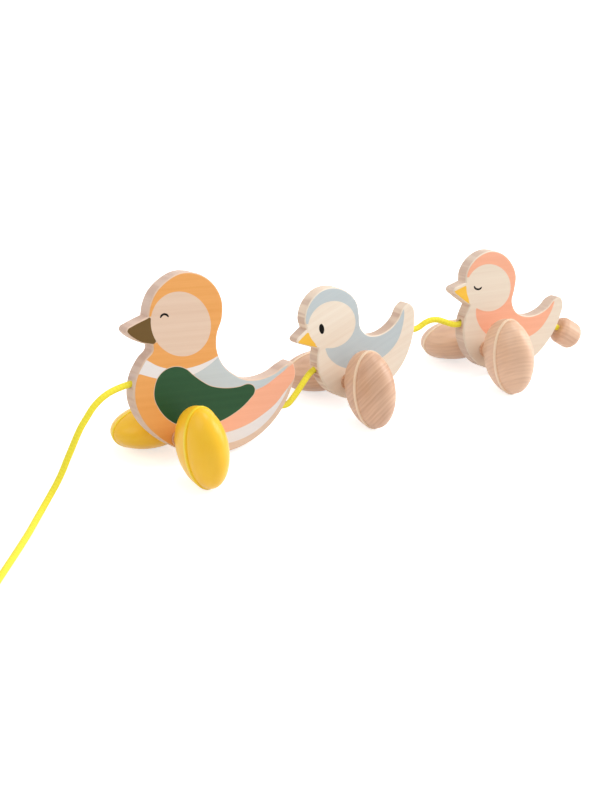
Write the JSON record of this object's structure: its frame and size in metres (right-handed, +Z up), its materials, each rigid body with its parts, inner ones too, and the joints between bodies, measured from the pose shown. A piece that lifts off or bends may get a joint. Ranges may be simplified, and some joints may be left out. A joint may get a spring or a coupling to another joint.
{
  "type": "pull-along duck train",
  "caption": "Wooden pull-along toy: painted flat ducks in a row on oval wheels set a quarter turn apart, so each duck waddles, linked by round cord with a turned pull drum.",
  "frame": {"origin": "on the floor below the middle of the bounding box of the ducks and their wheels, free cord left out", "axes": "+X rearwards along the train, away from the way the ducks face; +Y towards the ducks' right; +Z up"},
  "size_m": [0.555, 0.1761, 0.1179],
  "materials": {
    "mother_board": "painted, satin",
    "grey_board": "painted, satin",
    "peach_board": "painted, satin",
    "yellow_wheel": "stained, satin",
    "beech": "bare, satin",
    "cord": "braided",
    "paper": "matte"
  },
  "bodies": {
    "mother": {"mother_body": "mother_board", "mother_tail_anchor": "cord", "pull_cord": "cord", "pull_cord_coil": "cord", "pull_cord_end": "cord", "coil_tie": "paper", "pull_drum": "beech"},
    "duckling_1": {"duckling_1_body": "grey_board", "duckling_1_tail_anchor": "cord", "link_cord_1": "cord"},
    "duckling_2": {"duckling_2_body": "peach_board", "duckling_2_tail_anchor": "cord", "link_cord_2": "cord"},
    "tail_drum": {"tail_cord": "cord", "tail_drum": "beech"},
    "mother_wheels": {"mother_axle": "beech", "mother_left_wheel": "yellow_wheel", "mother_right_wheel": "yellow_wheel", "mother_left_washer": "beech", "mother_right_washer": "beech"},
    "duckling_1_wheels": {"duckling_1_axle": "beech", "duckling_1_left_wheel": "beech", "duckling_1_right_wheel": "beech", "duckling_1_left_washer": "beech", "duckling_1_right_washer": "beech"},
    "duckling_2_wheels": {"duckling_2_axle": "beech", "duckling_2_left_wheel": "beech", "duckling_2_right_wheel": "beech", "duckling_2_left_washer": "beech", "duckling_2_right_washer": "beech"}
  },
  "joints": [
    {"name": "mother_roll", "type": "hinge", "parent": "mother", "child": "mother_wheels", "pos_m": [-0.13795, -0.0085, 0.01967], "axis": [0.0857, -0.9797, 0.1815], "continuous": true},
    {"name": "duckling_1_roll", "type": "hinge", "parent": "duckling_1", "child": "duckling_1_wheels", "pos_m": [-0.0075, 0.00855, 0.01967], "axis": [0.0086, -0.9834, 0.1815], "continuous": true},
    {"name": "duckling_2_roll", "type": "hinge", "parent": "duckling_2", "child": "duckling_2_wheels", "pos_m": [0.10065, 0.00495, 0.01967], "axis": [-0.0257, -0.9831, 0.1815], "continuous": true},
    {"name": "link_1_swing", "type": "hinge", "parent": "mother", "child": "duckling_1", "pos_m": [-0.06287, -0.00199, 0.01938], "axis": [0, 0, 1], "range_deg": [-25, 25]},
    {"name": "link_2_swing", "type": "hinge", "parent": "duckling_1", "child": "duckling_2", "pos_m": [0.04568, 0.0131, 0.04179], "axis": [0, 0, 1], "range_deg": [-25, 25]},
    {"name": "tail_swing", "type": "hinge", "parent": "duckling_2", "child": "tail_drum", "pos_m": [0.16025, 0.00422, 0.0242], "axis": [0, 0, 1], "range_deg": [-25, 25]}
  ]
}
